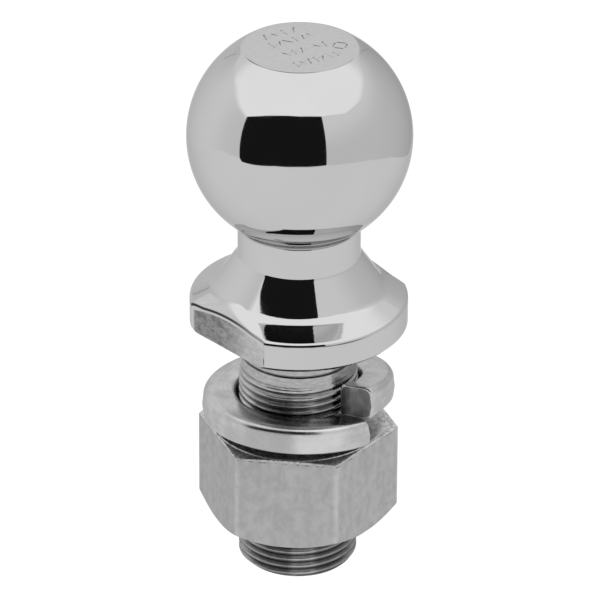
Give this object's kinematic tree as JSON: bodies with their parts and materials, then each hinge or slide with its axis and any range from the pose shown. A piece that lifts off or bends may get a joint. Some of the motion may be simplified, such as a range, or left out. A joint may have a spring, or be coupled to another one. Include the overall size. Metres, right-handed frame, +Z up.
{
  "type": "trailer hitch ball",
  "caption": "Chromed tow ball with a flat top, necked onto a flange with two wrench flats and a threaded shank, with a split lock washer and a hex nut that turns on the thread.",
  "frame": {"origin": "centre of the shank's end face, the lowest point of the object", "axes": "+Z up along the shank towards the ball; +Y and -Y square to the flange's two wrench flats"},
  "size_m": [0.0586, 0.0586, 0.1496],
  "materials": {
    "chrome_plate": "polished",
    "zinc_plate": "satin zinc plate",
    "plain_steel": "satin, as forged and plated"
  },
  "bodies": {
    "stud": {"ball_stud": "chrome_plate"},
    "washer": {"lock_washer": "zinc_plate"},
    "nut": {"hex_nut": "plain_steel"}
  },
  "joints": [
    {"name": "washer_ride", "type": "slide", "parent": "stud", "child": "washer", "axis": [0, 0, 1], "range_m": [-0.01398, 0.01038]},
    {"name": "nut_turn", "type": "hinge", "parent": "washer", "child": "nut", "pos_m": [0, 0, 0.0275], "axis": [0, 0, 1], "range_deg": [-2376, 1764]}
  ],
  "couplings": [
    {"joint": "washer_ride", "follows": "nut_turn", "m_per_rad": 0.00033688}
  ]
}
